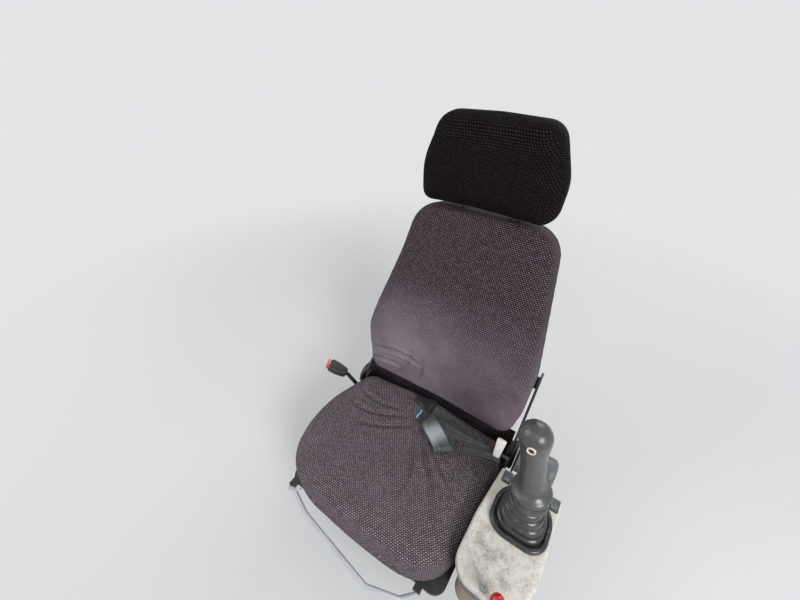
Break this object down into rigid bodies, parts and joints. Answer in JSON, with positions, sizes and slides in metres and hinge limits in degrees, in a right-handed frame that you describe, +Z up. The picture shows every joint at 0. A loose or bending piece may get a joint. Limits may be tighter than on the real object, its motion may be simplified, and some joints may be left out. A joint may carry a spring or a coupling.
{
  "type": "operator seat with joystick console",
  "caption": "Suspension operator seat with lap belt, reclining backrest, sliding base, adjustable headrest and a tilting left-hand joystick console.",
  "frame": {"origin": "centre of the rectangle of mounting holes, on the underside of the mounting bars", "axes": "+Z up, the seat faces -Y, +X towards the sitter's left where the console is"},
  "size_m": [0.7334, 0.6984, 1.0256],
  "materials": {
    "dark_steel": "black powder coat, lightly worn",
    "zinc_steel": "zinc plated",
    "bellows_rubber": "matt moulded rubber",
    "black_plastic": "moulded, fine grain",
    "seat_fabric": "dark woven fabric with small pale dashes",
    "headrest_fabric": "dark woven fabric with small pale dashes",
    "grey_tube": "light grey coated tube",
    "pale_plastic": "moulded, worn",
    "webbing": "woven polyester webbing with a sheen",
    "hub_plastic": "satin grey",
    "taupe_plastic": "moulded, fine grain",
    "grey_plastic": "moulded, satin",
    "pale_shell": "off-white, stained and worn",
    "boot_rubber": "satin moulded rubber",
    "grip_plastic": "polished by use",
    "cream_plastic": "glossy",
    "red_plastic": "glossy"
  },
  "bodies": {
    "base": {"mount_bar_front": "dark_steel", "mount_bar_rear": "dark_steel", "suspension_lower_plate": "dark_steel", "suspension_bellows": "bellows_rubber", "suspension_upper_plate": "dark_steel", "weight_adjuster": "black_plastic", "rail_fixed_left": "zinc_steel", "rail_fixed_right": "zinc_steel"},
    "carriage": {"rail_sliding_left": "zinc_steel", "rail_sliding_right": "zinc_steel", "seat_pan": "dark_steel", "cushion": "seat_fabric", "bail_handle": "grey_tube", "recliner_plate_left": "dark_steel", "recliner_plate_right": "dark_steel", "recliner_cover_left": "black_plastic", "recliner_cover_right": "black_plastic", "recline_lever": "dark_steel", "lever_paddle": "pale_plastic", "belt_webbing": "webbing", "belt_tongue": "black_plastic", "buckle_stalk": "black_plastic", "buckle": "black_plastic", "console_bracket": "dark_steel"},
    "backrest": {"recliner_arm_left": "dark_steel", "recliner_arm_right": "dark_steel", "back_frame": "dark_steel", "back_shell": "black_plastic", "back_pad": "seat_fabric", "headrest_sleeves": "black_plastic"},
    "headrest": {"headrest_posts": "zinc_steel", "headrest_pad": "headrest_fabric"},
    "console": {"console_arm": "hub_plastic", "console_lower_shell": "taupe_plastic", "console_band": "grey_plastic", "console_top_shell": "pale_shell", "boot_ring": "boot_rubber", "boot": "boot_rubber", "joystick": "grip_plastic", "joystick_button": "cream_plastic", "rocker_inner": "grey_plastic", "rocker_outer": "grey_plastic", "lock_lever": "dark_steel", "lock_knob": "red_plastic", "console_screw": "zinc_steel"}
  },
  "joints": [
    {"name": "seat_slide", "type": "slide", "parent": "base", "child": "carriage", "axis": [0, 1, 0], "range_m": [-0.075, 0.075]},
    {"name": "backrest_recline", "type": "hinge", "parent": "carriage", "child": "backrest", "pos_m": [0, 0.115, 0.24], "axis": [-1, 0, 0], "range_deg": [-10, 20]},
    {"name": "headrest_height", "type": "slide", "parent": "backrest", "child": "headrest", "axis": [0, 0.3123, 0.95], "range_m": [0, 0.06]},
    {"name": "console_tilt", "type": "hinge", "parent": "carriage", "child": "console", "pos_m": [0.307, 0.08, 0.3], "axis": [-1, 0, 0], "range_deg": [0, 30]}
  ]
}
